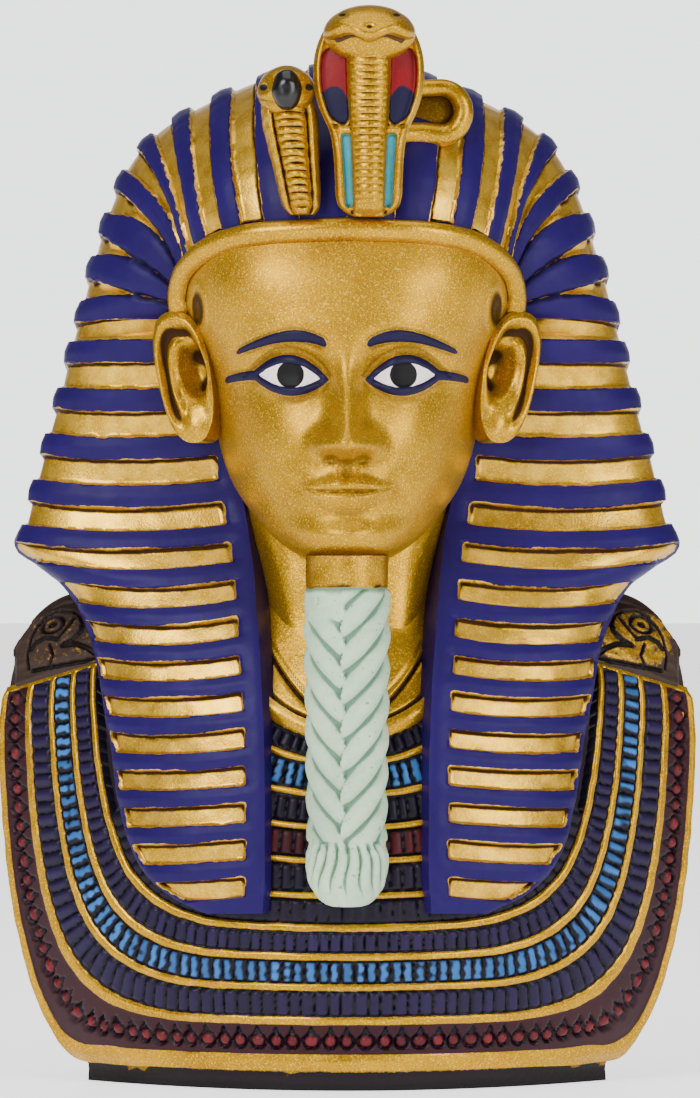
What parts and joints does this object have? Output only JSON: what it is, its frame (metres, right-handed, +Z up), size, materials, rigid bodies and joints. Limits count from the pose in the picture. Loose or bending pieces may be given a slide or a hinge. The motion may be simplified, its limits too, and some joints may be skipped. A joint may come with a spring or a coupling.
{
  "type": "pharaoh bust",
  "caption": "Painted resin souvenir bust of a pharaoh in a striped headcloth with cobra and vulture, plaited beard and broad bead collar; stands on its flat underside.",
  "frame": {"origin": "on the floor under the middle of the bust's width and depth, on its flat underside", "axes": "the figure faces -Y, +X is to its left hand, +Z up"},
  "size_m": [0.1266, 0.0904, 0.1946],
  "materials": {
    "painted_resin": "hand-painted gold, ultramarine and dark bead colours over cast resin, satin"
  },
  "bodies": {
    "root": {"bust": "painted_resin"}
  },
  "joints": []
}
